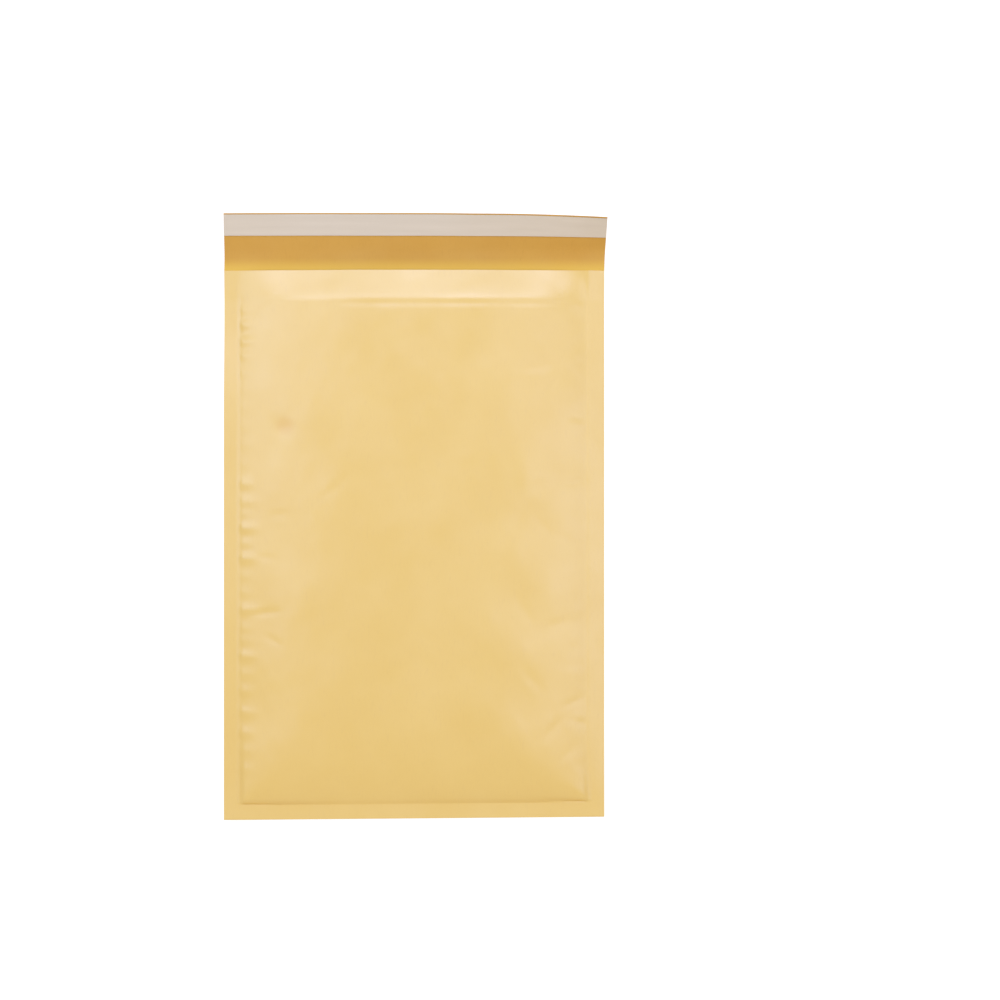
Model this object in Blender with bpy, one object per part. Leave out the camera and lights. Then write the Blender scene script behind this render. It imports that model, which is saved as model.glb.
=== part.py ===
"""A padded mailing envelope, empty and unsealed, lying on its back.

It is four pieces, as on a bench: a cover folded from one web of paper, a pocket of bubble film inside it,
a band of pressure-sensitive adhesive on the flap, and the release paper that keeps the adhesive clean.

X runs across the envelope, Y from its folded bottom towards the flap and Z up. The origin is on the surface
that the envelope lies on, under the middle of the panels. Everything is in metres.

Each piece is thin sheet, so it is modelled from a plan: a flat grid, triangulated once. The plan is lifted to
the heights of the sheet's faces, which therefore run parallel, and the faces are joined by walls at the edges.
"""

from math import cos, exp, pi, radians, sin

import bmesh
import bpy

MM = 0.001

# The cover: two panels, bonded along both sides and the bottom, and a flap beyond the mouth
WIDTH = 250 * MM
HEIGHT = 360 * MM
FLAP = 38 * MM
PAPER = 0.25 * MM
SIDE_SEAM = 10 * MM
BOTTOM_SEAM = 10 * MM

# The padding: the film's height over its bubbles, the space for the goods and the room left round the film
FILM = 3.5 * MM
POCKET = 5.5 * MM
CLEARANCE = 0.3 * MM
LINING_SETBACK = 20 * MM
FILM_INSET = 1 * MM
FILM_WELD = 2 * MM
FILM_EDGE = 0.4 * MM
BUBBLE_PITCH = 11 * MM

# How the cushion rises from its seams, and how its crown fills out
EDGE_SHARE = 0.6
EDGE_REACH = 9 * MM
CROWN_REACH = 60 * MM
FILM_REACH = 9.6 * MM
FULLEST = 0.96
CORNER_ROUNDING = 3

# The mouth gapes a little in the middle, and the front panel slopes down to it from the end of the film
MOUTH_GAPE = 8.3 * MM
SLOPE_START = 2 * MM
SLOPE_ROUNDING = 0.15

# The seams hang clear of the table beside the cushion, lower on the right, and come down to it at the mouth
SEAM_LIFT = 2.3 * MM
SEAM_LIFT_LEAN = 0.7 * MM
LIFT_REACH = 28 * MM
LIFT_END = 30 * MM
LIFT_FADE = 60 * MM

# The gathers that the bubbles raise in the paper along the side seams, one for each bubble, uneven in height
GATHER_HEIGHT = 0.9 * MM
GATHER_START = 2.5 * MM
GATHER_REACH = 13 * MM
GATHER_MEAN = 0.55
GATHER_SPREAD = 0.45
GATHER_TURNS = (2.4, 0.9)

# The flap runs on flat and bends up softly, a little more at its left corner, and most at its right one
FLAP_FLAT = 6 * MM
FLAP_BEND = 11 * MM
FLAP_TILT = radians(3.5)
LEFT_SPRING = radians(6)
LEFT_POWER = 6
RIGHT_SPRING = radians(30.5)
RIGHT_POWER = 2.5

# The closure on the flap's inner face, laid edge to edge
ADHESIVE = 0.15 * MM
ADHESIVE_WIDTH = 11 * MM
RELEASE = 0.12 * MM
RELEASE_WIDTH = 14 * MM
STRIP_INSET = 0.8 * MM
STRIP_GAP = 0.2 * MM

# The grid that the sheets are made on
COLUMNS = 8
COLUMN_POWER = 1.7
THINNED_ROWS = 4
SLOPE_ROWS = 4
BEND_ROWS = 6

HALF = WIDTH / 2
SEAM_X = HALF - SIDE_SEAM
BOTTOM_Y = -HEIGHT / 2
SEAM_Y = BOTTOM_Y + BOTTOM_SEAM
MOUTH_Y = HEIGHT / 2
FILM_Y = MOUTH_Y - LINING_SETBACK
INSIDE = 2 * FILM + POCKET + 2 * CLEARANCE
PITCHES = round((FILM_Y - SEAM_Y) / BUBBLE_PITCH)
PITCH = (FILM_Y - SEAM_Y) / PITCHES

# A sheet's faces, from the table up: under and over the back sheet, under and over the front sheet
BACK_UNDER, BACK_OVER, FRONT_UNDER, FRONT_OVER = range(4)
BONDED = [(BACK_UNDER, FRONT_OVER)]
OPEN = [(BACK_UNDER, BACK_OVER), (FRONT_UNDER, FRONT_OVER)]
SINGLE = [(BACK_UNDER, BACK_OVER)]
CUT_AWAY = []


def fade(share):
    """1 at 0 and below, 0 at 1 and above, with a smooth run between."""
    share = min(max(share, 0.0), 1.0)
    return 1 - share * share * (3 - 2 * share)


def inward(x, y):
    """How far a point lies in from the nearest seam's line, with the corners rounded."""
    side = max(SEAM_X - abs(x), 0.0)
    bottom = max(y - SEAM_Y, 0.0)
    if min(side, bottom) <= 0:
        return 0.0
    power = CORNER_ROUNDING
    return (side**-power + bottom**-power) ** (-1 / power)


def padded(x, y):
    """The space between the two panels where the film fills it."""
    deep = inward(x, y)
    edge = EDGE_SHARE * INSIDE * (1 - exp(-deep / EDGE_REACH))
    crown = (1 - EDGE_SHARE) * INSIDE * sin(pi / 2 * min(deep / CROWN_REACH, 1.0))
    return edge + crown


def space(x, y):
    """The space between the two panels: the padding's, and past the film's end a slope down to the mouth."""
    start = FILM_Y - SLOPE_START
    if y <= start:
        return padded(x, y)
    along = min((y - start) / (MOUTH_Y - start), 1.0)
    slope = along * along * (1 + SLOPE_ROUNDING) / (along + SLOPE_ROUNDING)
    mouth = MOUTH_GAPE * cos(pi / 2 * min(abs(x) / SEAM_X, 1.0))
    return padded(x, y) * (1 - slope) + mouth * slope


def back(x, y):
    """The underside's height: flat on the table, and rising to the seams."""
    near = max(1 - inward(x, y) / LIFT_REACH, 0.0)
    towards_mouth = 1 - fade((MOUTH_Y - LIFT_END - y) / LIFT_FADE)
    return (SEAM_LIFT - SEAM_LIFT_LEAN * x / HALF) * near**3 * towards_mouth


def gather(x, y):
    """The small bulges of paper between the bubbles along the side seams, uneven from one to the next."""
    deep = SEAM_X - abs(x)
    reach = (1 - fade(deep / GATHER_START)) * fade((deep - GATHER_START) / GATHER_REACH)
    ends = (1 - fade((y - SEAM_Y) / PITCH)) * fade((y - FILM_Y + PITCH) / PITCH)
    number = round((y - SEAM_Y) / PITCH) + (PITCHES + 1 if x > 0 else 0)
    quick, slow = GATHER_TURNS
    uneven = GATHER_MEAN + GATHER_SPREAD * sin(quick * number) * sin(slow * number + 1)
    bulge = 0.5 + 0.5 * cos(2 * pi * (y - SEAM_Y) / PITCH)
    return GATHER_HEIGHT * reach * ends * uneven * bulge


def on_flap(x, along, height):
    """A point on the flap: its distance along the sheet from the mouth, and its height over the lower face."""
    tilt = FLAP_TILT
    tilt += LEFT_SPRING * max(0.5 - x / WIDTH, 0.0) ** LEFT_POWER
    tilt += RIGHT_SPRING * max(0.5 + x / WIDTH, 0.0) ** RIGHT_POWER
    bend = min(max(along - FLAP_FLAT, 0.0), FLAP_BEND)
    turned = tilt * bend / FLAP_BEND
    y, z = MOUTH_Y + min(along, FLAP_FLAT), 0.0
    if bend > 0:
        radius = FLAP_BEND / tilt
        y, z = y + radius * sin(turned), z + radius * (1 - cos(turned))
    straight = max(along - FLAP_FLAT - FLAP_BEND, 0.0)
    y, z = y + straight * cos(tilt), z + straight * sin(tilt)
    return x, y - height * sin(turned), z + height * cos(turned)


def cover_point(x, y, face):
    """A point of the cover's sheets over its plan, in which the flap is laid out flat."""
    if y > MOUTH_Y + CLEARANCE:
        return on_flap(x, y - MOUTH_Y, PAPER if face else 0.0)
    low = back(x, y)
    high = low + 2 * PAPER + space(x, y) + gather(x, y)
    return x, y, (low, low + PAPER, high - PAPER, high)[face]


def film_height(x, y):
    """The height of the film, which is pressed flat towards its welded margins."""
    return FILM * (1 - exp(-inward(x, y) / FILM_REACH))


def lining_point(x, y, face):
    """A point of the bubble film's sheets, which lie between the panels with a clearance all round."""
    low = back(x, y) + PAPER + CLEARANCE
    high = back(x, y) + PAPER + space(x, y) - CLEARANCE
    middle = (low + high) / 2
    if abs(x) > WELD_X + CLEARANCE or y < WELD_Y - CLEARANCE:
        low, high = middle - FILM_EDGE / 2, middle + FILM_EDGE / 2
    welded = abs(x) > WELD_X - CLEARANCE or y < WELD_Y + CLEARANCE
    thick = middle - low if welded else min(film_height(x, y), FULLEST * (middle - low))
    return x, y, (low, low + thick, high - thick, high)[face]


def stops(low, high, count):
    """Evenly spaced lines from low to high, without the first."""
    return [low + (high - low) * (number + 1) / count for number in range(count)]


def columns_in(edge, count):
    """Lines across the inside, closest together at edge, which is the outermost of them."""
    half = [edge * (1 - (number / count) ** COLUMN_POWER) for number in range(count)]
    return [-x for x in half] + [0.0] + half[::-1]


def thinned(row):
    """Whether a row is one of those left out where the sheets run straight."""
    return SEAM_Y + LIFT_REACH < row < FILM_Y - PITCH and row not in EVEN_ROWS[::THINNED_ROWS]


def plan(columns, rows, spare=None):
    """A flat triangulated grid over columns and rows. The rows that spare names are left out of its middle."""
    bm = bmesh.new()
    bmesh.ops.create_grid(bm, x_segments=len(columns) - 1, y_segments=len(rows) - 1, size=1)
    bm.verts.ensure_lookup_table()
    for number, vert in enumerate(bm.verts):
        vert.co = columns[number % len(columns)], rows[number // len(columns)], 0
    if spare:
        doomed = [e for e in bm.edges if e.verts[0].co.y == e.verts[1].co.y and all(map(spare, e.verts))]
        bmesh.ops.dissolve_edges(bm, edges=doomed, use_verts=True)
    bmesh.ops.triangulate(bm, faces=bm.faces, quad_method="FIXED", ngon_method="EAR_CLIP")
    return bm


def wall_spans(sides):
    """The spans of height that have material in one only of the layers on the two sides of a plan's edge."""
    filled = [{step for low, high in side for step in range(low, high)} for side in sides]
    return sorted(filled[0] ^ filled[1])


def lift(flat, layers, point, meets):
    """A closed solid over a plan: layers says which faces a spot has, point where they are, and meets where
    the inner two run together."""
    bm = bmesh.new()
    made = {}

    def layers_of(tile):
        found = layers(tile.calc_center_median())
        return BONDED if found is OPEN and all(meets(vert.co) for vert in tile.verts) else found

    def corner(vert, face):
        if face == FRONT_UNDER and meets(vert.co):
            face = BACK_OVER
        if (vert.index, face) not in made:
            made[vert.index, face] = bm.verts.new(point(vert.co.x, vert.co.y, face))
        return made[vert.index, face]

    flat.verts.index_update()
    for tile in flat.faces:
        for low, high in layers_of(tile):
            bm.faces.new([corner(vert, high) for vert in tile.verts])
            bm.faces.new([corner(vert, low) for vert in reversed(tile.verts)])
    for edge in flat.edges:
        sides = [layers_of(tile) for tile in edge.link_faces] + [[]]
        for span in wall_spans(sides[:2]):
            one, two = edge.verts
            ring = [corner(one, span), corner(two, span), corner(two, span + 1), corner(one, span + 1)]
            ring = [v for number, v in enumerate(ring) if v is not ring[number - 1]]
            if len(ring) > 2:
                bm.faces.new(ring)
    bmesh.ops.recalc_face_normals(bm, faces=bm.faces)
    flat.free()
    return bm


def material(name, colour, roughness, clear=0.0):
    """A plain material with a colour, a roughness and a share of light let through."""
    made = bpy.data.materials.new(name)
    made.use_nodes = True
    shader = made.node_tree.nodes["Principled BSDF"]
    shader.inputs["Base Color"].default_value = (*colour, 1)
    shader.inputs["Roughness"].default_value = roughness
    shader.inputs["Metallic"].default_value = 0.0
    shader.inputs["Transmission Weight"].default_value = clear
    return made


def piece(name, bm, finish):
    """The named object of one piece, shaded smooth over its soft forms."""
    mesh = bpy.data.meshes.new(name)
    bm.to_mesh(mesh)
    bm.free()
    mesh.materials.append(finish)
    mesh.shade_smooth()
    mesh.set_sharp_from_angle(angle=radians(35))
    made = bpy.data.objects.new(name, mesh)
    bpy.context.scene.collection.objects.link(made)
    return made


def on_seam(spot):
    """Whether a spot of the cover's plan is where the two panels are bonded."""
    return abs(spot.x) > SEAM_X - CLEARANCE or spot.y < SEAM_Y + CLEARANCE


def paper_cover():
    """One web of paper: folded across the bottom, bonded down both sides, with the flap left single."""
    gathered = SEAM_X - GATHER_START - GATHER_REACH
    slope = stops(FILM_Y, MOUTH_Y, SLOPE_ROWS)
    bend = stops(MOUTH_Y + FLAP_FLAT, MOUTH_Y + FLAP_FLAT + FLAP_BEND, BEND_ROWS)
    rows = [BOTTOM_Y, SEAM_Y, WELD_Y] + EVEN_ROWS + slope
    rows += [MOUTH_Y + FLAP_FLAT] + bend + STRIP_ROWS + [MOUTH_Y + FLAP]
    left_out = [row for row in EVEN_ROWS if thinned(row)]

    def spare(vert):
        return abs(vert.co.x) < gathered and any(abs(vert.co.y - row) < CLEARANCE for row in left_out)

    def layers(spot):
        if spot.y > MOUTH_Y:
            return SINGLE
        return BONDED if on_seam(spot) else OPEN

    return lift(plan(COVER_COLUMNS, rows, spare), layers, cover_point, on_seam)


def on_weld(spot):
    """Whether a spot of the lining's plan is where its two sheets are welded."""
    return abs(spot.x) > WELD_X - CLEARANCE or spot.y < WELD_Y + CLEARANCE


def bubble_lining():
    """One web of bubble film, folded at the bottom and welded down both sides into an open pocket."""
    edge_x, edge_y = SEAM_X - FILM_INSET, SEAM_Y + FILM_INSET
    columns = [-edge_x] + columns_in(WELD_X, COLUMNS) + [edge_x]
    rows = [edge_y, WELD_Y] + [row for row in EVEN_ROWS if not thinned(row)]

    def layers(spot):
        if abs(spot.x) > WELD_X and spot.y < WELD_Y:
            return CUT_AWAY
        return BONDED if on_weld(spot) else OPEN

    return lift(plan(columns, rows), layers, lining_point, on_weld)


def strip(rows, start, thick):
    """A band laid on the flap from edge to edge: start is the height of its lower face over the flap's."""
    def point(x, y, face):
        return on_flap(x, y - MOUTH_Y, start + (thick if face else 0.0))

    return lift(plan(COVER_COLUMNS, rows), lambda spot: SINGLE, point, lambda spot: False)


# The lines that the cover shares with the film inside it and the bands on its flap, so that they lie close
EVEN_ROWS = stops(SEAM_Y, FILM_Y, 2 * PITCHES)
WELD_X = SEAM_X - FILM_INSET - FILM_WELD
WELD_Y = SEAM_Y + FILM_INSET + FILM_WELD
COVER_COLUMNS = [-HALF, -SEAM_X] + columns_in(WELD_X, COLUMNS) + [SEAM_X, HALF]
RELEASE_END = MOUTH_Y + FLAP - STRIP_INSET
ADHESIVE_INSET = (RELEASE_WIDTH - ADHESIVE_WIDTH) / 2
ADHESIVE_ROWS = [RELEASE_END - RELEASE_WIDTH + ADHESIVE_INSET, RELEASE_END - ADHESIVE_INSET]
STRIP_ROWS = [RELEASE_END - RELEASE_WIDTH, *ADHESIVE_ROWS, RELEASE_END]

for old in list(bpy.data.objects):
    bpy.data.objects.remove(old)

paper = material("paper", (0.80, 0.60, 0.28), 0.75)
film = material("film", (0.86, 0.88, 0.88), 0.25, 0.6)
adhesive = material("adhesive", (0.78, 0.76, 0.68), 0.3, 0.3)
release = material("release", (0.68, 0.60, 0.52), 0.4)

piece("paper_cover", paper_cover(), paper)
piece("bubble_lining", bubble_lining(), film)
piece("adhesive_strip", strip(ADHESIVE_ROWS, PAPER + STRIP_GAP, ADHESIVE), adhesive)
piece("release_liner", strip(STRIP_ROWS, PAPER + 2 * STRIP_GAP + ADHESIVE, RELEASE), release)
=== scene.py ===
"""The looks of an empty padded envelope that lies on its back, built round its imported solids."""

import bpy
import numpy as np
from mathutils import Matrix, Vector


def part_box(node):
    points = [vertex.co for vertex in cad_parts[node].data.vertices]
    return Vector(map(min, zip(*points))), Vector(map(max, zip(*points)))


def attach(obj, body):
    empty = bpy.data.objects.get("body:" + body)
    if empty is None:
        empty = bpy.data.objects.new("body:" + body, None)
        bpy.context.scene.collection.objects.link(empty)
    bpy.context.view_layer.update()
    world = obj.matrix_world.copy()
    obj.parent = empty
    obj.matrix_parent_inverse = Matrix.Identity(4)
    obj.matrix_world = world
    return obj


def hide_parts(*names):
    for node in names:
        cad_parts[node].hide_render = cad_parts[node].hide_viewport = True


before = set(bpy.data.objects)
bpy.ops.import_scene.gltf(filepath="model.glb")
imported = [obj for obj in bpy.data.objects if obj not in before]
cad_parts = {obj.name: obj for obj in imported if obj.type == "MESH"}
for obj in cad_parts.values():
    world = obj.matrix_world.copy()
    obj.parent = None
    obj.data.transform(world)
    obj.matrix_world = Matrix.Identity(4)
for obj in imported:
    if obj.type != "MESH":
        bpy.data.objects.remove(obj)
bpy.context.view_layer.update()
bpy.ops.object.select_all(action="DESELECT")

# The camera
# It looks straight down on the front panel, with the mouth at the top, through a moderate telephoto lens.
# The envelope lies left of the picture's middle, as it does in the photograph.
MM = 0.001
PICTURE = 1000
PIXEL = 0.6575 * MM
LENS = 85
SENSOR = 36
CENTRE_LINE_PX = 414.2
BODY_MIDDLE_PX = 544.4
SEAM_Z = 2.5 * MM

camera_x = (PICTURE / 2 - CENTRE_LINE_PX) * PIXEL
camera_y = (BODY_MIDDLE_PX - PICTURE / 2) * PIXEL
camera_z = SEAM_Z + PICTURE * PIXEL * LENS / SENSOR
bpy.ops.object.camera_add(location=(camera_x, camera_y, camera_z), rotation=(0, 0, 0))
camera = bpy.context.object
camera.name = "picture_camera"
camera.data.lens = LENS
camera.data.sensor_width = SENSOR
camera.data.clip_start = 0.01
bpy.context.scene.camera = camera
bpy.context.scene.view_settings.view_transform = "Standard"


# The paper cover
# One web of golden brown wrapping paper, folded across the bottom and bonded down both sides and along the
# bottom. The web goes on past the mouth as the flap, whose inner face is what shows above the front panel.
PAPER = 0.25 * MM
SEAM = 10 * MM
CLEARANCE = 0.3 * MM
CORNER_ROUNDING = 3

cover_low, cover_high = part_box("paper_cover")
film_low, film_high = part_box("bubble_lining")
half_width = cover_high[0]
bottom_y = cover_low[1]
fold_y = bottom_y + 2 * PAPER
mouth_y = -bottom_y
seam_x = half_width - SEAM
seam_y = bottom_y + SEAM
film_y = film_high[1]
inside = film_high[2] - film_low[2] + 2 * CLEARANCE


def ease(share):
    """0 at 0 and below, 1 at 1 and above, with a smooth run between."""
    share = np.clip(share, 0, 1)
    return share * share * (3 - 2 * share)


def inward(x, y):
    """How far points lie in from the nearest seam's line, with the corners rounded."""
    side = np.maximum(seam_x - abs(x), 1e-9)
    bottom = np.maximum(y - seam_y, 1e-9)
    return (side**-CORNER_ROUNDING + bottom**-CORNER_ROUNDING) ** (-1 / CORNER_ROUNDING)


# The film pads the cover. The padding rises at its edge, which is slacker towards the mouth and softer along
# the right seam, then over a wide crown, and it slopes down to the gaping mouth from the film's end
EDGE_SHARE = 0.6
EDGE_REACH = 12 * MM
MOUTH_SLACK = 0.9
SLACK_REACH = 60 * MM
RIGHT_SOFTNESS = 2.5 * MM
SOFT_REACH = 28 * MM
CROWN_REACH = 84 * MM
SLOPE_START = 0.5 * MM
SLOPE_ROUNDING = 0.22
MOUTH_GAPE = 3.0 * MM


def space(x, y):
    """The space between the two panels, which the film holds apart, and which closes down to the mouth."""
    deep = inward(x, y)
    reach = EDGE_REACH * (1 + MOUTH_SLACK * ease((y - film_y + SLACK_REACH) / SLACK_REACH))
    towards_right = ease((x - seam_x + SOFT_REACH) / SOFT_REACH) * ease((y - seam_y) / SOFT_REACH)
    soft = RIGHT_SOFTNESS * towards_right
    edge_deep = np.sqrt(deep * deep + soft * soft) - soft
    edge = EDGE_SHARE * inside * (1 - np.exp(-edge_deep / reach))
    crown = (1 - EDGE_SHARE) * inside * np.sin(np.pi / 2 * np.minimum(deep / CROWN_REACH, 1))
    start = film_y - SLOPE_START
    along = np.clip((y - start) / (mouth_y - start), 0, 1)
    slope = along * along * (1 + SLOPE_ROUNDING) / (along + SLOPE_ROUNDING)
    mouth = MOUTH_GAPE * np.cos(np.pi / 2 * np.minimum(abs(x) / seam_x, 1))
    return (edge + crown) * (1 - slope) + mouth * slope


# Beside the padding the seams stand off the table, the left one a little higher, and the right one droops
# again towards its edge. At the mouth both panels meet about halfway up the padding, so that the flap's root
# stands off the table too
SEAM_LIFT = 2.3 * MM
SEAM_LIFT_LEAN = 0.7 * MM
LIFT_REACH = 28 * MM
LIFT_END = 30 * MM
LIFT_FADE = 60 * MM
RIGHT_DROOP = 2.5 * MM
RIGHT_LIFT = 1.2 * MM
DROOP_REACH = 40 * MM
DROOP_FADE = 60 * MM
DROOP_BEND = 0.2
MOUTH_DROOP = 0.6
ROOT_SIDE = 1.5 * MM
ROOT_MIDDLE = 4.6 * MM
ROOT_CURVE = 1.3


def mouth_root(x):
    """How far the paper stands off the table at the mouth, where the flap begins."""
    return ROOT_SIDE + (ROOT_MIDDLE - ROOT_SIDE) * np.cos(np.pi / 2 * np.minimum(abs(x) / half_width, 1))


def back_height(x, y):
    """The underside's height: flat on the table, raised at the seams, with the right one drooping."""
    near_seam = np.maximum(1 - inward(x, y) / LIFT_REACH, 0)
    towards_mouth = ease((mouth_y - LIFT_END - y) / LIFT_FADE)
    lift = SEAM_LIFT - SEAM_LIFT_LEAN * x / half_width
    root = mouth_root(x) * np.clip((y - film_y) / (mouth_y - film_y), 0, 1) ** ROOT_CURVE
    over_seam = np.clip((x - seam_x) / SEAM, 0, 1)
    seam_rise = RIGHT_LIFT + (RIGHT_DROOP - RIGHT_LIFT) * (1 - towards_mouth)
    droop = seam_rise - RIGHT_DROOP * over_seam * (1 + DROOP_BEND * (1 - over_seam))
    droop = droop * ease((x - half_width / 2) / DROOP_REACH) * ease((y - bottom_y) / DROOP_FADE)
    droop = droop * (MOUTH_DROOP + (1 - MOUTH_DROOP) * towards_mouth)
    return (lift * towards_mouth + droop) * near_seam**3 + root


def waves(x, y, length, seed, count=12):
    """A smooth uneven field of about unit height, with waves about as long as length."""
    draw = np.random.RandomState(seed)
    total = np.zeros(np.broadcast(x, y).shape)
    for _ in range(count):
        turn, size, phase = draw.uniform(0, 2 * np.pi), draw.uniform(0.7, 1.5), draw.uniform(0, 2 * np.pi)
        run = (x * np.cos(turn) + y * np.sin(turn)) / (length * size)
        total += np.cos(2 * np.pi * run + phase)
    return total / np.sqrt(count)


# The bubbles along a side seam each lift the paper a little, some more than others. Left seam: the middle of
# each gather along Y in mm, its height as a share, and how far it reaches in, in mm. Along the right seam
# the paper lies softer, so that its gathers are fainter, longer and leaning, and set by a seeded draw
BUBBLE_PITCH = 11 * MM
ROW_PITCH = BUBBLE_PITCH * np.sqrt(3) / 2
GATHER_HEIGHT = 0.6 * MM
GATHER_START = 1.6 * MM
GATHER_WIDTH = 3.2 * MM
GATHER_PAST_FILM = 2 * MM
GATHER_FADE = 6 * MM
LEFT_GATHERS = [
    (154, 0.9, 12), (144.7, 1.5, 13.5), (133.5, 1.6, 15), (124.2, 1.3, 12), (113, 0.7, 15),
    (102, 0.3, 13.5), (90, 0.3, 12), (78, 0.25, 12), (66, 0.3, 13.5), (53, 0.3, 12),
    (40.4, 0.9, 13.5), (28.5, 0.8, 15), (20.5, 0.5, 10.5), (11.4, 1.3, 16.5), (1.5, 0.6, 12),
    (-8.4, 1.3, 15), (-20, 0.4, 12), (-31, 0.5, 12), (-42, 1.0, 21), (-54, 0.5, 12),
    (-62, 0.5, 13.5), (-72.4, 1.25, 15), (-84, 0.5, 13.5), (-95, 0.6, 12), (-109.4, 0.9, 16.5),
    (-122.6, 0.9, 13.5), (-134, 0.5, 12), (-146, 0.6, 12),
]
RIGHT_STRENGTH = 0.35
RIGHT_START = 8 * MM
RIGHT_WIDTH = 1.3 * GATHER_WIDTH
RIGHT_REACH = (8 * MM, 22 * MM)
RIGHT_LEAN = (0.15, 0.75)


def gathers(x, y):
    """The small bulges and puckers of the paper along both side seams."""
    rise = np.zeros(x.shape)
    deep = np.maximum(seam_x + x, 0)
    for middle, share, reach in LEFT_GATHERS:
        across = (y - middle * MM) / GATHER_WIDTH
        fade = ease(deep / GATHER_START) * (1 - ease((deep - GATHER_START) / (reach * MM)))
        rise += GATHER_HEIGHT * share * fade * np.exp(-across * across)
    draw = np.random.RandomState(11)
    deep = np.maximum(seam_x - x, 0)
    for row in range(int((film_y - seam_y) / BUBBLE_PITCH)):
        middle = seam_y + (row + draw.uniform(0.3, 0.9)) * BUBBLE_PITCH
        reach, lean = draw.uniform(*RIGHT_REACH), draw.uniform(*RIGHT_LEAN) * draw.choice((-1, 1))
        across = (y - middle - lean * deep) / RIGHT_WIDTH
        fade = ease(deep / RIGHT_START) * (1 - ease((deep - RIGHT_START) / reach))
        rise += GATHER_HEIGHT * RIGHT_STRENGTH * draw.uniform(0.1, 1) * fade * np.exp(-across * across)
    return rise * ease((film_y + GATHER_PAST_FILM - y) / GATHER_FADE)


# Soft hollows and wrinkles in the padding: middle x and y, length along the fold, width across it, turn of
# the fold from X in degrees, and depth, all in mm but the turn
HOLLOWS = [
    (-84, 77, 10, 8, 0, 0.7),
    (-86, 74, 6, 3, -40, 0.2),
    (-80, 87, 5, 3, 60, 0.15),
    (-91, 160, 12, 4, 38, 0.35),
    (-104, 148, 10, 3, 60, 0.25),
    (80, 117, 20, 7, 8, 0.5),
    (90, 104, 12, 4, 50, 0.3),
    (104, 84, 12, 3.5, -12, 0.22),
    (106, 41, 12, 3.2, 12, 0.28),
    (80, 38, 24, 8, 5, 0.35),
    (99, 3, 14, 4.5, -30, 0.25),
    (84, 12, 12, 4, -52, 0.3),
    (69, 17, 14, 5, 50, 0.25),
    (73, -45, 15, 5, -58, 0.28),
    (80, -62, 13, 4.4, 40, 0.25),
    (96, -52, 14, 5, 15, 0.3),
    (77, -88, 14, 5, -50, 0.35),
    (91, -121, 14, 4, 50, 0.25),
    (104, -104, 10, 3, 25, 0.3),
    (108, -117, 8, 3, -15, 0.25),
    (98, -140, 12, 4, 42, 0.2),
    (-98, -44, 12, 3, 5, 0.45),
    (-92, -62, 9, 3, -28, 0.25),
    (-88, 20, 9, 4, 12, 0.25),
    (-96, -8, 9, 3, -8, 0.25),
    (-56, 34, 12, 4, 38, 0.25),
    (-44, 44, 9, 4, 52, 0.2),
    (-60, -80, 26, 10, 70, 0.3),
    (20, 60, 40, 18, 80, 0.35),
    (45, -120, 34, 14, 30, 0.3),
    (-30, 120, 36, 16, -20, 0.3),
]


def hollows(x, y):
    """How far the soft hollows press the paper in."""
    depth = np.zeros(x.shape)
    for middle_x, middle_y, length, width, turn, deepest in HOLLOWS:
        right, up = x - middle_x * MM, y - middle_y * MM
        run = (right * np.cos(np.radians(turn)) + up * np.sin(np.radians(turn))) / (length * MM)
        across = (up * np.cos(np.radians(turn)) - right * np.sin(np.radians(turn))) / (width * MM)
        depth += deepest * MM * np.exp(-2 * (run * run + across * across))
    return depth


# The front panel sinks into a shallow groove where the film ends, from left of the middle to the right seam
GROOVE_DEPTH = 0.3 * MM
GROOVE_WIDTH = 2.4 * MM
GROOVE_BACK = 1.6 * MM
GROOVE_SPAN = (-58 * MM, 108 * MM)
GROOVE_FADE = 22 * MM

# Along the bottom seam the padding starts with a step, highest on the left. Towards both corners a crease is
# pinched in at its foot, and on the right it leaves the seam's line and comes back to it
STEP_HEIGHT = 1.5 * MM
STEP_REACH = 1.9 * MM
STEP_FADE = 60 * MM
STEP_MIDDLE = 0.3
STEP_LEFT_START = 40 * MM
STEP_LEFT_REACH = 65 * MM
STEP_RIGHT = 0.5
STEP_RIGHT_REACH = 90 * MM
SEAM_END = 4 * MM
CREASE_DEPTH = 1.0 * MM
CREASE_WIDTH = 0.7 * MM
CREASE_PINCH = 88 * MM
CREASE_PINCH_REACH = 22 * MM
CREASE_SHIFT = 1.3 * MM
CREASE_SHIFT_START = 78 * MM
CREASE_SHIFT_REACH = 16 * MM
CREASE_RETURN_END = 2 * MM
CREASE_RETURN = 23 * MM

# The paper is uneven in slight long waves, cockles in short ones, and lets the bubbles show through faintly
UNEVEN_HEIGHT = 0.3 * MM
UNEVEN_LENGTH = 52 * MM
COCKLE_HEIGHT = 0.05 * MM
COCKLE_LENGTH = 18 * MM
SHOW_THROUGH = 0.03 * MM
SHOW_LENGTH = 70 * MM
SHOW_FADE = 4 * MM
PADDED_REACH = 25 * MM
HOLLOW_START = 3 * MM


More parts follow.
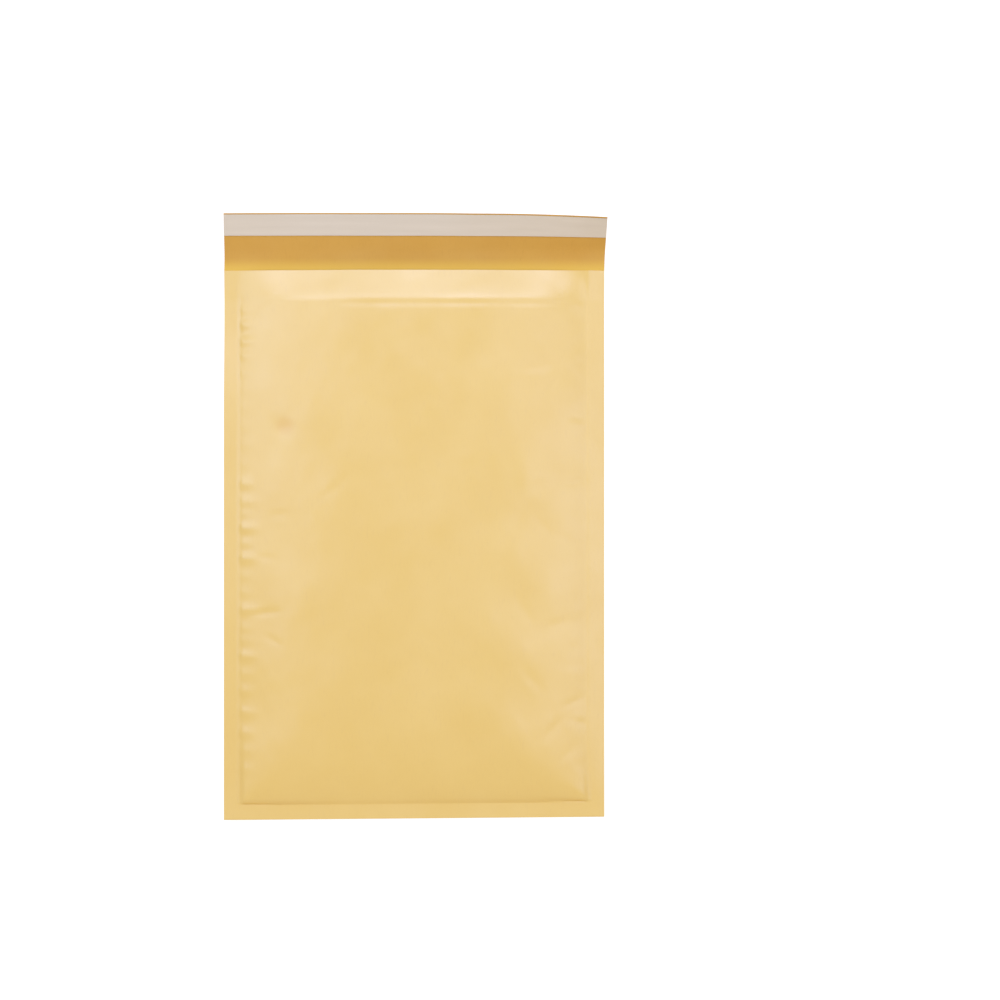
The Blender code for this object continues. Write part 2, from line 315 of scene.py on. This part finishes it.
def front_detail(x, y):
    """What lies on the front panel's padded form: gathers, hollows, groove, step and unevenness."""
    deep = inward(x, y)
    padded = ease(deep / PADDED_REACH)
    spread = ease((x - GROOVE_SPAN[0]) / GROOVE_FADE) * ease((GROOVE_SPAN[1] - x) / GROOVE_FADE)
    groove = GROOVE_DEPTH * spread * np.exp(-(((y - film_y + GROOVE_BACK) / GROOVE_WIDTH) ** 2))
    ends = ease((seam_x - abs(x)) / SEAM_END)
    shifted = ease((x - CREASE_SHIFT_START) / CREASE_SHIFT_REACH)
    back_again = np.clip((seam_x + CREASE_RETURN_END - x) / CREASE_RETURN, 0, 1)
    line_y = seam_y + CREASE_SHIFT * shifted * back_again
    pinched = ease((abs(x) - CREASE_PINCH) / CREASE_PINCH_REACH)
    crease = CREASE_DEPTH * pinched * np.exp(-(((y - line_y) / CREASE_WIDTH) ** 2)) * ends
    share = STEP_MIDDLE + (1 - STEP_MIDDLE) * ease((-x - STEP_LEFT_START) / STEP_LEFT_REACH)
    share = share + (STEP_RIGHT - STEP_MIDDLE) * ease(x / STEP_RIGHT_REACH)
    step = STEP_HEIGHT * share * ends * (1 - np.exp(-np.maximum(y - line_y, 0) / STEP_REACH))
    step = step * (1 - ease((y - line_y) / STEP_FADE))
    uneven = UNEVEN_HEIGHT * waves(x, y, UNEVEN_LENGTH, 3) * padded
    cockle = COCKLE_HEIGHT * waves(x, y, COCKLE_LENGTH, 8, 20) * padded
    bubbles = np.cos(2 * np.pi * x / BUBBLE_PITCH) * np.cos(np.pi * y / ROW_PITCH)
    tight = SHOW_THROUGH * padded * ease((film_y - y) / SHOW_FADE)
    tight = tight * (0.6 + 0.4 * waves(x, y, SHOW_LENGTH, 12))
    pressed = hollows(x, y) * ease(deep / HOLLOW_START)
    return gathers(x, y) + uneven + cockle + tight * bubbles + step - pressed - groove - crease


# The two panels are bonded all but face to face, and stand a little open along the bottom fold
BOND_GAP = 0.03 * MM
FOLD_OPEN = 0.12 * MM
FOLD_REACH = 6 * MM


def front_height(x, y):
    """The height of the front panel's middle layer."""
    clear = 1.5 * PAPER + BOND_GAP + FOLD_OPEN * (1 - ease((y - fold_y) / FOLD_REACH))
    padding = space(x, y) + front_detail(x, y) * (inward(x, y) > 0)
    return back_height(x, y) + clear + np.maximum(padding, 0)


# The flap comes down from the mouth to the table, bends up over 11 mm and goes on straight. Both its ends
# spring up further, the right one most, where it also flares out. Right of the middle a slight kink tilts it
FLAP = 38 * MM
FLAP_FLAT = 6 * MM
FLAP_BEND = 11 * MM
FLAP_TILT = np.radians(3.5)
LEFT_SPRING, LEFT_POWER = np.radians(9.5), 4
RIGHT_SPRING, RIGHT_POWER = np.radians(30.5), 2.5
RIGHT_FLARE, FLARE_POWER = 1.6 * MM, 6
KINK_X = 38 * MM
KINK_WIDTH = 14 * MM
KINK_TILT = np.radians(1.6)
ROOT_REACH = 14 * MM
FLAP_UNEVEN = 0.25 * MM
FLAP_UNEVEN_LENGTH = 60 * MM


def flap_point(x, along, height):
    """Points on the flap, by their distance from the mouth and their height over its underside."""
    tilt = FLAP_TILT + LEFT_SPRING * np.clip(0.5 - x / (2 * half_width), 0, 1) ** LEFT_POWER
    tilt = tilt + RIGHT_SPRING * np.clip(0.5 + x / (2 * half_width), 0, 1) ** RIGHT_POWER
    tilt = tilt + KINK_TILT * np.exp(-(((x - KINK_X) / KINK_WIDTH) ** 2))
    bend = np.clip(along - FLAP_FLAT, 0, FLAP_BEND)
    turned = tilt * bend / FLAP_BEND
    x = x + RIGHT_FLARE * (along / FLAP) * np.clip(x / half_width, 0, 1) ** FLARE_POWER
    radius = FLAP_BEND / tilt
    straight = np.maximum(along - FLAP_FLAT - FLAP_BEND, 0)
    y = mouth_y + np.minimum(along, FLAP_FLAT) + radius * np.sin(turned) + straight * np.cos(tilt)
    z = radius * (1 - np.cos(turned)) + straight * np.sin(tilt)
    z = z + back_height(x, np.full(x.shape, mouth_y)) * np.maximum(1 - along / ROOT_REACH, 0) ** 2
    free = ease((along - FLAP_FLAT) / (2 * FLAP_BEND))
    z = z + FLAP_UNEVEN * free * waves(x, along, FLAP_UNEVEN_LENGTH, 21, 7)
    return x, y - height * np.sin(turned), z + height * np.cos(turned)


# The web is folded a little off square at the bottom, lower on the left
FOLD_SKEW = 1.0 * MM
FOLD_LOW = 0.3 * MM


def lines(*runs):
    """Lines across a sheet, from runs of (start, end, spacing) that follow on from each other."""
    stops = [np.array([runs[0][0]])]
    for start, end, spacing in runs:
        count = max(round(abs(end - start) / spacing), 1)
        stops.append(start + (end - start) * np.arange(1, count + 1) / count)
    return np.concatenate(stops)


def grid_piece(name, columns, rows):
    """A flat grid with the given numbers of lines, added as a primitive and left selected."""
    bpy.ops.mesh.primitive_grid_add(x_subdivisions=columns - 1, y_subdivisions=rows - 1, size=1)
    made = bpy.context.object
    made.name = made.data.name = name
    return made


def shape(piece, x, y, z):
    """Puts a grid's points where x, y and z say, row by row, with the bottom a little off square."""
    y = y + (FOLD_SKEW * x / half_width - FOLD_LOW) * np.clip((mouth_y - y) / (2 * mouth_y), 0, 1)
    piece.data.vertices.foreach_set("co", np.stack([x, y, z], axis=-1).astype(np.float32).ravel())
    piece.data.update()


def finish_sheet(piece, thickness, offset, inner_material=0):
    """Gives an open sheet its thickness, and shades it smooth."""
    wall = piece.modifiers.new("thickness", "SOLIDIFY")
    wall.thickness = thickness
    wall.offset = offset
    wall.material_offset = inner_material
    bpy.context.view_layer.objects.active = piece
    bpy.ops.object.modifier_apply(modifier=wall.name)
    bpy.ops.object.shade_smooth_by_angle(angle=np.radians(50))


# The sheet's lines lie close together where it has gathers, the groove, the step and the fold, and wider
# elsewhere. Its rows run from the mouth down the front, round the fold, up the back and out along the flap
FINE_REACH = 28 * MM
columns = lines(
    (-half_width, -seam_x, 2.5 * MM),
    (-seam_x, -seam_x + FINE_REACH, 1.3 * MM),
    (-seam_x + FINE_REACH, seam_x - FINE_REACH, 2.3 * MM),
    (seam_x - FINE_REACH, seam_x, 1.3 * MM),
    (seam_x, half_width, 2.5 * MM),
)
front_rows = lines(
    (mouth_y, film_y - 6 * MM, 1.0 * MM),
    (film_y - 6 * MM, seam_y + 8 * MM, 1.7 * MM),
    (seam_y + 8 * MM, seam_y - 3 * MM, 0.45 * MM),
    (seam_y - 3 * MM, bottom_y + 3.5 * MM, 2 * MM),
    (bottom_y + 3.5 * MM, fold_y, 0.6 * MM),
)
fold_turns = np.radians([30, 60, 90, 120, 150])[:, None]
back_rows = lines((fold_y, seam_y + 30 * MM, 4 * MM), (seam_y + 30 * MM, mouth_y, 9 * MM))
flap_rows = lines((0, FLAP, 1.5 * MM))[1:]

front_x, front_y = np.meshgrid(columns, front_rows)
back_x, back_y = np.meshgrid(columns, back_rows)
flap_x, flap_along = np.meshgrid(columns, flap_rows)
fold_x = np.broadcast_to(columns, (len(fold_turns), len(columns)))
fold_radius = 0.5 * (PAPER + BOND_GAP + FOLD_OPEN)
fold_round = np.broadcast_to(fold_y - fold_radius * np.sin(fold_turns), fold_x.shape)
fold_level = back_height(columns, np.full(columns.shape, fold_y)) + 0.5 * PAPER + fold_radius
parts = [
    (front_x, front_y, front_height(front_x, front_y)),
    (fold_x, fold_round, fold_level + fold_radius * np.cos(fold_turns)),
    (back_x, back_y, back_height(back_x, back_y) + 0.5 * PAPER),
    flap_point(flap_x, flap_along, 0.5 * PAPER),
]
web_x, web_y, web_z = (np.concatenate(places) for places in zip(*parts))
cover = grid_piece("envelope_paper", len(columns), len(web_x))
shape(cover, web_x, web_y, web_z)


def linear(code):
    """The linear RGBA of an sRGB hex colour."""
    parts = [int(code[place : place + 2], 16) / 255 for place in (1, 3, 5)]
    parts = [part / 12.92 if part <= 0.04045 else ((part + 0.055) / 1.055) ** 2.4 for part in parts]
    return parts + [1.0]


def node(tree, kind, links=(), **settings):
    """Adds a node with its settings, which are inputs or properties by name, and links (socket, from)."""
    made = tree.nodes.new(kind)
    for name, value in settings.items():
        label = name.replace("_", " ").title()
        if hasattr(made, name):
            setattr(made, name, value)
        else:
            made.inputs[label].default_value = value
    for name, source in links:
        tree.links.new(source, made.inputs[name])
    return made


def new_material(name):
    """A named material with its node tree and its Principled shader."""
    made = bpy.data.materials.new(name)
    made.use_nodes = True
    return made, made.node_tree, made.node_tree.nodes["Principled BSDF"]


def laid_over(tree, under, share, code):
    """A colour output: the colour from under with another one laid over it, by a share."""
    mixed = node(tree, "ShaderNodeMix", [("Factor", share)], data_type="RGBA")
    tree.links.new(under, mixed.inputs[6])
    mixed.inputs[7].default_value = linear(code)
    return mixed.outputs[2]


# Wrapping paper's patterns: clouds of pulp, fibres, tooth, and patches where its face is worn
CLOUD = 34 * MM
FIBRE_WIDTH = 0.9 * MM
FIBRE_LENGTH = 5 * MM
FIBRE_SHARE = 0.22
TOOTH = 1.6 * MM
TOOTH_DEPTH = 0.1 * MM
WEAR = 26 * MM


def paper_material(name, light, deep, fibre, roughness, gloss, bump):
    """Machine-made wrapping paper: cloudy pulp in two tones, short fibres along the web, a fine tooth."""
    made, tree, shader = new_material(name)
    place = node(tree, "ShaderNodeTexCoord").outputs["Object"]
    vector = [("Vector", place)]
    clouds = node(tree, "ShaderNodeTexNoise", vector, scale=1 / CLOUD, detail=3.0, roughness=0.55)
    tone = node(tree, "ShaderNodeMix", [("Factor", clouds.outputs["Fac"])], data_type="RGBA")
    tone.inputs[6].default_value, tone.inputs[7].default_value = linear(deep), linear(light)

    along = node(tree, "ShaderNodeMapping", vector)
    along.inputs["Scale"].default_value = (1 / FIBRE_WIDTH, 1 / FIBRE_LENGTH, 1 / FIBRE_LENGTH)
    along_fibres = [("Vector", along.outputs["Vector"])]
    fibres = node(tree, "ShaderNodeTexNoise", along_fibres, scale=1.0, detail=4.0)
    spread = node(tree, "ShaderNodeMapRange", [("Value", fibres.outputs["Fac"])])
    spread.inputs["From Min"].default_value, spread.inputs["From Max"].default_value = 0.55, 0.8
    spread.inputs["To Max"].default_value = FIBRE_SHARE
    flecked = laid_over(tree, tone.outputs[2], spread.outputs["Result"], fibre)
    tree.links.new(flecked, shader.inputs["Base Color"])

    tooth = node(tree, "ShaderNodeTexNoise", vector, scale=1 / TOOTH, detail=5.0, roughness=0.6)
    height = [("Height", tooth.outputs["Fac"])]
    relief = node(tree, "ShaderNodeBump", height, strength=bump, distance=TOOTH_DEPTH)
    tree.links.new(relief.outputs["Normal"], shader.inputs["Normal"])

    worn = node(tree, "ShaderNodeTexNoise", vector, scale=1 / WEAR, detail=2.0)
    sheen = node(tree, "ShaderNodeMapRange", [("Value", worn.outputs["Fac"])])
    sheen.interpolation_type = "SMOOTHSTEP"
    sheen.inputs["From Min"].default_value, sheen.inputs["From Max"].default_value = 0.3, 0.7
    sheen.inputs["To Min"].default_value, sheen.inputs["To Max"].default_value = roughness
    tree.links.new(sheen.outputs["Result"], shader.inputs["Roughness"])
    shader.inputs["Specular IOR Level"].default_value = gloss
    shader.inputs["IOR"].default_value = 1.58
    return made, tree, shader, place, flecked


# Wrapping paper, glazed on its outer face by a hot roll: golden brown and satin, so that each bulge and
# pucker takes a pale light. Its clouds of pulp, fibres and tooth, and the patches where the glaze is rubbed
# duller, are all drawn coarser than on the real sheet, so that they show
glazed, tree, shader, place, flecked = paper_material(
    "machine_glazed_paper", "#ECC974", "#E7C166", "#DCB56C", roughness=(0.29, 0.38), gloss=1.0, bump=0.12
)

# A spot near the left edge, pressed and rubbed, is a shade darker, and fades out within its 9 mm
SPOT_X, SPOT_Y = -84 * MM, 78 * MM
SPOT_SIZE = 9 * MM
SPOT_SHARE = 0.5
near_spot = node(tree, "ShaderNodeMapping", [("Vector", place)])
near_spot.inputs["Location"].default_value = (-SPOT_X / SPOT_SIZE, -SPOT_Y / SPOT_SIZE, 0)
near_spot.inputs["Scale"].default_value = (1 / SPOT_SIZE, 1 / SPOT_SIZE, 0)
ball = node(tree, "ShaderNodeTexGradient", [("Vector", near_spot.outputs["Vector"])])
ball.gradient_type = "SPHERICAL"
edge = node(tree, "ShaderNodeMapRange", [("Value", ball.outputs["Fac"])], interpolation_type="SMOOTHSTEP")
edge.inputs["From Max"].default_value, edge.inputs["To Max"].default_value = 0.8, SPOT_SHARE
spotted = laid_over(tree, flecked, edge.outputs["Result"], "#E5B865")
tree.links.new(spotted, shader.inputs["Base Color"])

# The same sheet's inner face, which no roll has glazed: matt, with a rougher tooth that takes no light, and
# darker, partly its own deeper brown and partly painted shade for the flap that leans away from the light.
# Where the flap turns at the mouth its root is painted a shade lighter over 10 mm: painted light on the root
matt, tree, shader, place, flecked = paper_material(
    "matt_paper_inside", "#D3A148", "#CA953B", "#B98738", roughness=(0.7, 0.8), gloss=0.3, bump=0.6
)
# Painted light: the flap's root is laid over with a lighter colour, fullest at the mouth and gone 10 mm on
ROOT_LIGHT_START = mouth_y - 0.5 * MM
ROOT_LIGHT_REACH = 10 * MM
up_sheet = node(tree, "ShaderNodeSeparateXYZ", [("Vector", place)])
painted_root_light = node(tree, "ShaderNodeMapRange", [("Value", up_sheet.outputs["Y"])])
painted_root_light.interpolation_type = "SMOOTHSTEP"
painted_root_light.inputs["From Min"].default_value = ROOT_LIGHT_START
painted_root_light.inputs["From Max"].default_value = ROOT_LIGHT_START + ROOT_LIGHT_REACH
painted_root_light.inputs["To Min"].default_value, painted_root_light.inputs["To Max"].default_value = 1.0, 0.0
root_with_painted_light = laid_over(tree, flecked, painted_root_light.outputs["Result"], "#E3B74C")
tree.links.new(root_with_painted_light, shader.inputs["Base Color"])
cover.data.materials.append(glazed)
cover.data.materials.append(matt)
cover.data.flip_normals()
finish_sheet(cover, PAPER, 0.0, inner_material=1)
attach(cover, "root")
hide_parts("paper_cover")


# The bubble film
# A pocket of polyethylene bubble film, folded at the bottom and welded down both sides. Its flat film lines
# the pocket, and its bubbles, vacuum formed and sealed with air inside, face the paper on both panels.
FILM = 3.5 * MM
FILM_REACH = 9.6 * MM
FULLEST = 0.96
FILM_WEB = 0.08 * MM
FILM_CLEAR = 0.2 * MM
FILM_INSET = 1 * MM
WELD = 2 * MM
BUBBLE = 10 * MM
BUBBLE_ROUNDING = 1.7 * MM
PLAIN_SIDES = 9 * MM
PLAIN_BOTTOM = 14 * MM
PLAIN_TOP = 6 * MM


def film_faces(x, y):
    """The heights of the pocket's two flat films, lower and upper, and of the bubbles on them."""
    low = back_height(x, y) + PAPER + FILM_CLEAR
    high = front_height(x, y) - PAPER / 2 - FILM_CLEAR
    middle = (low + high) / 2
    tall = np.minimum(FILM * (1 - np.exp(-inward(x, y) / FILM_REACH)), FULLEST * (high - low) / 2)
    side = np.minimum(seam_x - FILM_INSET - abs(x), y - seam_y - FILM_INSET)
    open_share = ease((side - WELD) / (2 * WELD))
    lower = middle - FILM_WEB / 2 - (middle - low - tall) * open_share
    upper = middle + FILM_WEB / 2 + (high - tall - middle) * open_share
    return lower, upper, tall


film_x = lines((-seam_x + FILM_INSET, seam_x - FILM_INSET, 4 * MM))
film_rows = lines((film_y, seam_y + 20 * MM, 5 * MM), (seam_y + 20 * MM, seam_y + FILM_INSET, 2 * MM))
film_grid_x, film_grid_y = np.meshgrid(film_x, np.concatenate([film_rows, film_rows[::-1]]))
lower, upper, _ = film_faces(film_grid_x, film_grid_y)
on_top = np.arange(len(film_grid_y)) < len(film_rows)
lining = grid_piece("bubble_film_pocket", len(film_x), len(film_grid_y))
shape(lining, film_grid_x, film_grid_y, np.where(on_top[:, None], upper, lower))
lining.data.flip_normals()
finish_sheet(lining, FILM_WEB, 0.0)

# One bubble is made at the lower left and repeated along its row, once in the next row, and down the sheet
across_count = int(2 * (seam_x - PLAIN_SIDES) / BUBBLE_PITCH)
row_pairs = int((film_y - seam_y - PLAIN_BOTTOM) / (2 * ROW_PITCH))
first_x = -(across_count - 0.5) * BUBBLE_PITCH / 2
first_y = film_y - PLAIN_TOP - (2 * row_pairs - 1) * ROW_PITCH
formed = []
for side in ("front", "back"):
    first = (first_x, first_y, 0)
    bpy.ops.mesh.primitive_cylinder_add(vertices=12, radius=BUBBLE / 2, depth=FILM, location=first)
    bubbles = bpy.context.object
    bpy.ops.object.transform_apply(location=True, rotation=True, scale=True)
    for part in [*bubbles.data.polygons, *bubbles.data.edges]:
        part.select = False
    for corner in bubbles.data.vertices:
        corner.select = corner.co.z > 0
    bpy.ops.object.mode_set(mode="EDIT")
    bpy.ops.mesh.select_mode(type="EDGE")
    bpy.ops.mesh.bevel(offset=BUBBLE_ROUNDING, segments=2, profile=0.5)
    bpy.ops.object.mode_set(mode="OBJECT")
    for label, step, count in (
        ("along_row", (BUBBLE_PITCH, 0, 0), across_count),
        ("next_row", (BUBBLE_PITCH / 2, ROW_PITCH, 0), 2),
        ("down_sheet", (0, 2 * ROW_PITCH, 0), row_pairs),
    ):
        repeat = bubbles.modifiers.new(label, "ARRAY")
        repeat.use_relative_offset, repeat.use_constant_offset = False, True
        repeat.constant_offset_displace, repeat.count = step, count
        bpy.ops.object.modifier_apply(modifier=repeat.name)
    spots = np.empty(len(bubbles.data.vertices) * 3, np.float32)
    bubbles.data.vertices.foreach_get("co", spots)
    bubble_x, bubble_y, bubble_z = spots.reshape(-1, 3).T.astype(float)
    lower, upper, tall = film_faces(bubble_x, bubble_y)
    rise = np.maximum((bubble_z / FILM + 0.5) * tall, 0)
    bubble_z = upper + rise if side == "front" else lower - rise
    shape(bubbles, bubble_x, bubble_y, bubble_z)
    if side == "back":
        bubbles.data.flip_normals()
    bpy.ops.object.shade_smooth_by_angle(angle=np.radians(50))
    formed.append(bubbles)

for part in [*formed, lining]:
    part.select_set(True)
bpy.context.view_layer.objects.active = lining
bpy.ops.object.join()
lining = bpy.context.object
lining.name = lining.data.name = "bubble_film_pocket"

# Clear polyethylene: it lets the brown paper through, a little hazed, and its bubbles and folds catch small
# bright lights. The haze changes over 9 mm, about a bubble's width, as forming stretches the film unevenly
HAZE = 9 * MM
film, tree, shader = new_material("clear_polyethylene_film")
shader.inputs["Base Color"].default_value = linear("#EEF3F4")
shader.inputs["Transmission Weight"].default_value = 0.8
shader.inputs["IOR"].default_value = 1.12
shader.inputs["Coat Weight"].default_value = 0.6
shader.inputs["Coat Roughness"].default_value = 0.12
place = node(tree, "ShaderNodeTexCoord").outputs["Object"]
haze = node(tree, "ShaderNodeTexNoise", [("Vector", place)], scale=1 / HAZE, detail=2.0)
cloud = node(tree, "ShaderNodeMapRange", [("Value", haze.outputs["Fac"])])
cloud.inputs["To Min"].default_value, cloud.inputs["To Max"].default_value = 0.12, 0.3
tree.links.new(cloud.outputs["Result"], shader.inputs["Roughness"])
lining.data.materials.clear()
lining.data.materials.append(film)
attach(lining, "root")
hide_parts("bubble_lining")


# The release liner
# A strip of paper coated with silicone, pale and satin, that covers the adhesive from edge to edge.
LINER = 0.1 * MM
LINER_WIDTH = 14 * MM
LINER_INSET = 0.8 * MM
LINER_HEIGHT = PAPER + 0.35 * MM
liner_rows = lines((FLAP - LINER_INSET - LINER_WIDTH, FLAP - LINER_INSET, 1.5 * MM))
liner_x, liner_along = np.meshgrid(columns, liner_rows)
liner = grid_piece("release_strip", len(columns), len(liner_rows))
shape(liner, *flap_point(liner_x, liner_along, LINER_HEIGHT))

# Paper with a silicone coat: greyish cream beside the golden cover, and satin, so that it takes one long
# soft light, with faint streaks 3 mm across and 60 mm long that run the way the strip came off its roll
STREAK_LENGTH = 60 * MM
STREAK_WIDTH = 3 * MM
coated, tree, shader = new_material("silicone_coated_paper")
place = node(tree, "ShaderNodeTexCoord").outputs["Object"]
along = node(tree, "ShaderNodeMapping", [("Vector", place)])
along.inputs["Scale"].default_value = (1 / STREAK_LENGTH, 1 / STREAK_WIDTH, 1 / STREAK_WIDTH)
streaks = node(tree, "ShaderNodeTexNoise", [("Vector", along.outputs["Vector"])], scale=1.0, detail=3.0)
tone = node(tree, "ShaderNodeMix", [("Factor", streaks.outputs["Fac"])], data_type="RGBA")
tone.inputs[6].default_value, tone.inputs[7].default_value = linear("#CEBFA7"), linear("#DACBB4")
tree.links.new(tone.outputs[2], shader.inputs["Base Color"])
shader.inputs["Roughness"].default_value = 0.38
liner.data.materials.append(coated)
finish_sheet(liner, LINER, 1.0)
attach(liner, "root")
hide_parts("release_liner")


# The adhesive
# A thin film of pressure-sensitive adhesive, clear and a little yellow, a touch narrower than its liner.
ADHESIVE = 0.15 * MM
ADHESIVE_WIDTH = 11 * MM
ADHESIVE_HEIGHT = PAPER + 0.1 * MM
adhesive_middle = FLAP - LINER_INSET - LINER_WIDTH / 2
adhesive_start, adhesive_end = adhesive_middle - ADHESIVE_WIDTH / 2, adhesive_middle + ADHESIVE_WIDTH / 2
adhesive_rows = lines((adhesive_start, adhesive_end, 1.5 * MM))
adhesive_x, adhesive_along = np.meshgrid(columns, adhesive_rows)
adhesive = grid_piece("adhesive_band", len(columns), len(adhesive_rows))
shape(adhesive, *flap_point(adhesive_x, adhesive_along, ADHESIVE_HEIGHT))

# Pressure-sensitive adhesive, laid down by a slot nozzle: a little yellow, with faint stripes 1.2 mm apart
# along the strip where the coat is thicker, and wet-looking, so that its cut edge glints beside matt paper
STRIPE_LENGTH = 40 * MM
STRIPE_WIDTH = 1.2 * MM
tacky, tree, shader = new_material("pressure_sensitive_adhesive")
place = node(tree, "ShaderNodeTexCoord").outputs["Object"]
along = node(tree, "ShaderNodeMapping", [("Vector", place)])
along.inputs["Scale"].default_value = (1 / STRIPE_LENGTH, 1 / STRIPE_WIDTH, 1 / STRIPE_WIDTH)
stripes = node(tree, "ShaderNodeTexNoise", [("Vector", along.outputs["Vector"])], scale=1.0, detail=2.0)
coat = node(tree, "ShaderNodeMix", [("Factor", stripes.outputs["Fac"])], data_type="RGBA")
coat.inputs[6].default_value, coat.inputs[7].default_value = linear("#CDBB88"), linear("#E2D8B4")
tree.links.new(coat.outputs[2], shader.inputs["Base Color"])
height = [("Height", stripes.outputs["Fac"])]
ribs = node(tree, "ShaderNodeBump", height, strength=0.3, distance=0.05 * MM)
tree.links.new(ribs.outputs["Normal"], shader.inputs["Normal"])
shader.inputs["Roughness"].default_value = 0.22
shader.inputs["IOR"].default_value = 1.48
adhesive.data.materials.append(tacky)
finish_sheet(adhesive, ADHESIVE, 1.0)
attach(adhesive, "root")
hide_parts("adhesive_strip")


# The floor and the light
# A white table and a white room, lit softly from above, most from beyond the flap and less from both sides.
# The cool lights give the glazed paper its pale gloss, and the warm one fills in without a gloss of its own.
FLOOR_SIZE = 6.0
FLOOR_WHITE = 0.5
FLOOR_GLOW = 0.75
WORLD_LIGHT = 0.675

bpy.ops.mesh.primitive_plane_add(size=FLOOR_SIZE, location=(0, 0, -0.05 * MM))
floor = bpy.context.object
floor.name = "table_top"

# A white lacquered table: even and matt. It takes the envelope's shadow, and glows for rays from the camera,
# off gloss and through film, so that it stays as white as the photograph's ground, also in reflections
white, tree, shader = new_material("white_table")
tree.nodes.remove(shader)
seen = node(tree, "ShaderNodeLightPath")
matt_white = node(tree, "ShaderNodeBsdfDiffuse")
matt_white.inputs["Color"].default_value = (FLOOR_WHITE, FLOOR_WHITE, FLOOR_WHITE, 1)
mirrored = node(tree, "ShaderNodeMath", operation="MAXIMUM")
tree.links.new(seen.outputs["Is Glossy Ray"], mirrored.inputs[0])
tree.links.new(seen.outputs["Is Transmission Ray"], mirrored.inputs[1])
direct = node(tree, "ShaderNodeMath", operation="MAXIMUM")
tree.links.new(seen.outputs["Is Camera Ray"], direct.inputs[0])
tree.links.new(mirrored.outputs[0], direct.inputs[1])
glow_level = node(tree, "ShaderNodeMath", operation="MULTIPLY")
tree.links.new(direct.outputs[0], glow_level.inputs[0])
glow_level.inputs[1].default_value = FLOOR_GLOW
glow = node(tree, "ShaderNodeEmission", [("Strength", glow_level.outputs[0])])
both = node(tree, "ShaderNodeAddShader")
tree.links.new(matt_white.outputs[0], both.inputs[0])
tree.links.new(glow.outputs[0], both.inputs[1])
tree.links.new(both.outputs[0], tree.nodes["Material Output"].inputs["Surface"])
floor.data.materials.append(white)

world = bpy.data.worlds.new("white_room")
bpy.context.scene.world = world
world.use_nodes = True
tree = world.node_tree
seen = node(tree, "ShaderNodeLightPath")
level = node(tree, "ShaderNodeMapRange", [("Value", seen.outputs["Is Camera Ray"])])
level.inputs["To Min"].default_value, level.inputs["To Max"].default_value = WORLD_LIGHT, 1.0
tree.links.new(level.outputs["Result"], tree.nodes["Background"].inputs["Strength"])
room = node(tree, "ShaderNodeMix", [("Factor", seen.outputs["Is Camera Ray"])], data_type="RGBA")
room.inputs[6].default_value, room.inputs[7].default_value = linear("#FFF3DC"), (1, 1, 1, 1)
tree.links.new(room.outputs[2], tree.nodes["Background"].inputs["Color"])


def soft_light(name, place, width, depth, colour, power):
    """A flat soft light that faces the envelope's middle."""
    bpy.ops.object.light_add(type="AREA", location=place)
    made = bpy.context.object
    made.name = name
    made.rotation_euler = (Vector((0, 0, 0)) - Vector(place)).to_track_quat("-Z", "Y").to_euler()
    made.data.shape = "RECTANGLE"
    made.data.size, made.data.size_y = width, depth
    made.data.color = linear(colour)[:3]
    made.data.energy = power
    return made


soft_light("light_beyond_flap", (-0.04, 0.85, 1.2), 1.5, 0.7, "#BCCFFF", 11.6)
soft_light("light_left", (-0.85, 0.2, 1.3), 0.6, 1.1, "#A8C6FF", 3.3)
soft_light("light_left_low", (-1.25, 0.5, 0.85), 0.6, 1.1, "#BDD6FF", 2.2)
soft_light("light_right", (0.9, 0.0, 1.15), 0.55, 1.5, "#B8CEFF", 4.4)
near = soft_light("light_near", (0.1, -1.3, 0.9), 1.4, 0.5, "#FFF3DC", 2.2)
near.visible_glossy = False
